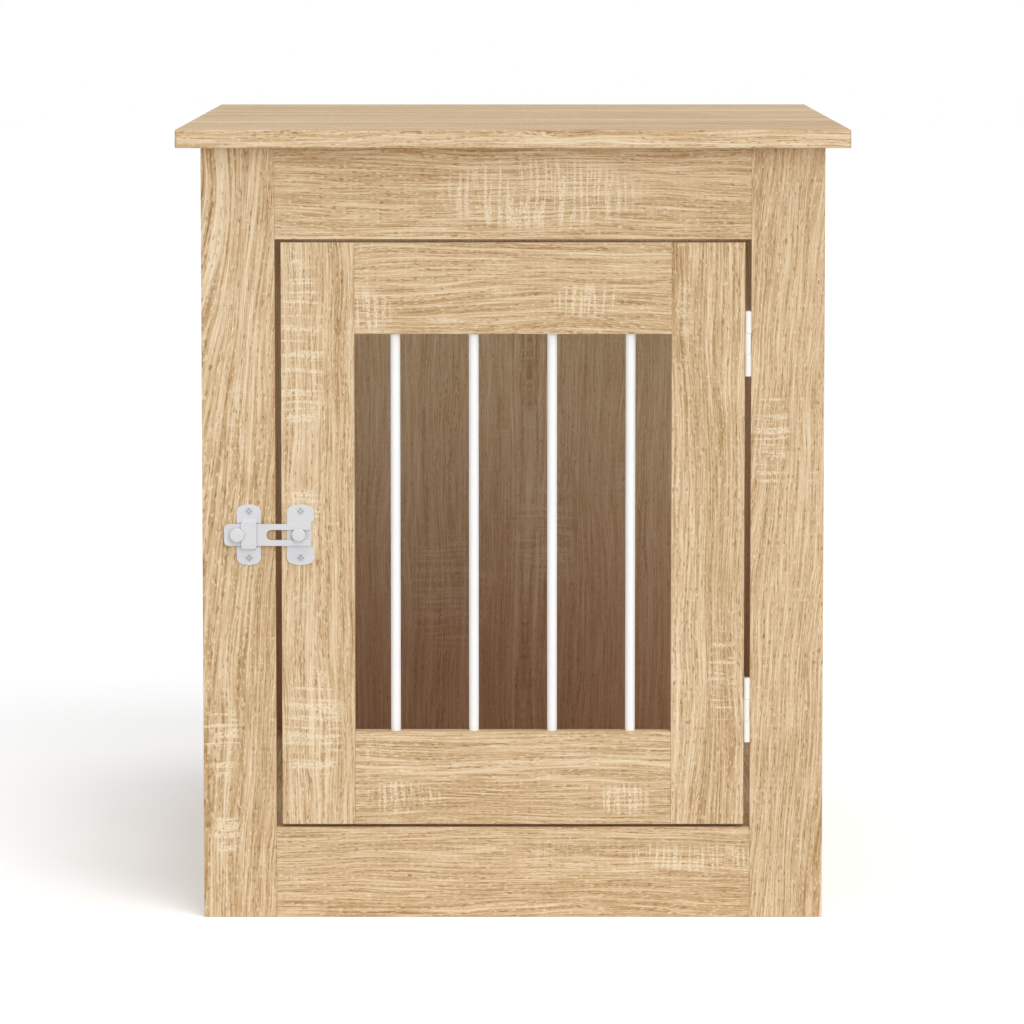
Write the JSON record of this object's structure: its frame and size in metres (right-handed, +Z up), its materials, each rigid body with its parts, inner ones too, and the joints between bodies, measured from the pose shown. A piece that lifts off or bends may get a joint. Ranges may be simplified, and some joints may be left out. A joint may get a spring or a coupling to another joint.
{
  "type": "dog crate end table",
  "caption": "Framed dog crate under a flat end-table top, with a hinged barred door, barred side windows and a slide latch.",
  "frame": {"origin": "on the floor, below the middle of the tabletop", "axes": "+Z up, +X to the viewer's right, and the door faces -Y"},
  "size_m": [0.55, 0.75, 0.65],
  "materials": {
    "oak_board": "matt sandy oak foil on board, with fine pores, pale cathedral grain and faint saw marks",
    "beech_dowel": "plain beech, unfinished, fluted",
    "bar_paint": "white powder coat, satin",
    "hinge_paint": "white enamel, satin",
    "hinge_pin_steel": "bright steel wire",
    "latch_metal": "light grey-white enamel, satin",
    "screw_metal": "light enamel with a cross recess"
  },
  "bodies": {
    "crate": {"tabletop": "oak_board", "back_panel": "oak_board", "floor_panel": "oak_board", "front_left_stile": "oak_board", "front_right_stile": "oak_board", "front_bottom_rail": "oak_board", "front_top_rail": "oak_board", "left_front_stile": "oak_board", "left_middle_stile": "oak_board", "left_rear_stile": "oak_board", "left_front_bottom_rail": "oak_board", "left_front_top_rail": "oak_board", "left_rear_bottom_rail": "oak_board", "left_rear_top_rail": "oak_board", "right_front_stile": "oak_board", "right_middle_stile": "oak_board", "right_rear_stile": "oak_board", "right_front_bottom_rail": "oak_board", "right_front_top_rail": "oak_board", "right_rear_bottom_rail": "oak_board", "right_rear_top_rail": "oak_board", "panel_dowels": "beech_dowel", "left_window_bars": "bar_paint", "right_window_bars": "bar_paint", "upper_hinge_frame_leaf": "hinge_paint", "upper_hinge_pin": "hinge_pin_steel", "lower_hinge_frame_leaf": "hinge_paint", "lower_hinge_pin": "hinge_pin_steel", "latch_guide": "latch_metal", "latch_guide_screws": "screw_metal"},
    "door": {"door_latch_stile": "oak_board", "door_hinge_stile": "oak_board", "door_bottom_rail": "oak_board", "door_top_rail": "oak_board", "door_bars": "bar_paint", "upper_hinge_door_leaf": "hinge_paint", "lower_hinge_door_leaf": "hinge_paint", "latch_keeper": "latch_metal", "latch_stud": "latch_metal", "latch_keeper_screws": "screw_metal"},
    "latch_bolt": {"latch_bolt_bar": "latch_metal", "latch_knob": "latch_metal"}
  },
  "joints": [
    {"name": "door_hinge", "type": "hinge", "parent": "crate", "child": "door", "pos_m": [0.1925, -0.356, 0.3175], "axis": [0, 0, 1], "range_deg": [0, 170]},
    {"name": "door_latch_slide", "type": "slide", "parent": "crate", "child": "latch_bolt", "axis": [-1, 0, 0], "range_m": [0, 0.028]}
  ]
}
